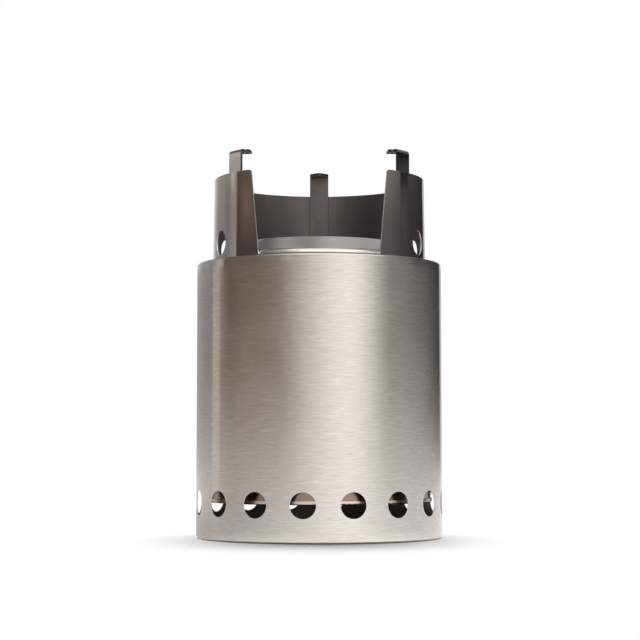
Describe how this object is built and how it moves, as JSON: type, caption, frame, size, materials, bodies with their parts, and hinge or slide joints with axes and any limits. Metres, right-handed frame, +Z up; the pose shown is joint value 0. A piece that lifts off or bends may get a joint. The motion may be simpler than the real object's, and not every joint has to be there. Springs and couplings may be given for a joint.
{
  "type": "twig stove",
  "caption": "Double-wall cylindrical steel stove for twigs, with air vents round its foot, a wire grate and a lift-off cooking ring with a feed opening, a domed lip and hooked pot supports.",
  "frame": {"origin": "middle of the foot, on the ground", "axes": "+Z up along the stove's axis, -Y towards the feed opening, +X to the right seen from the feed opening"},
  "size_m": [0.13, 0.13, 0.2015],
  "materials": {
    "outer_steel": "satin stainless steel, brushed around the stove",
    "chamber_steel": "smoked and sooted stainless steel",
    "seat_steel": "plain drawn stainless steel",
    "grate_wire": "fired wire, dark with heat",
    "lip_steel": "mirror polished stainless steel",
    "ring_steel": "smooth satin stainless steel, tinted by heat",
    "support_steel": "satin stainless steel, smoked on the pot rests"
  },
  "bodies": {
    "stove": {"outer_wall": "outer_steel", "inner_wall": "chamber_steel", "grate_seat": "seat_steel", "ash_pan": "chamber_steel", "grate_rim": "grate_wire", "grate_bar_1": "grate_wire", "grate_bar_2": "grate_wire", "grate_bar_3": "grate_wire", "grate_bar_4": "grate_wire", "grate_bar_5": "grate_wire", "grate_bar_6": "grate_wire", "grate_bar_7": "grate_wire", "grate_bar_8": "grate_wire", "grate_bar_9": "grate_wire", "grate_cross_front": "grate_wire", "grate_cross_back": "grate_wire"},
    "cooking_ring": {"ring_base": "lip_steel", "ring_wall": "ring_steel", "pot_support_left": "support_steel", "pot_support_right": "support_steel", "pot_support_back": "support_steel"}
  },
  "joints": [
    {"name": "ring_lift", "type": "slide", "parent": "stove", "child": "cooking_ring", "axis": [0, 0, 1], "range_m": [0, 0.1]}
  ]
}
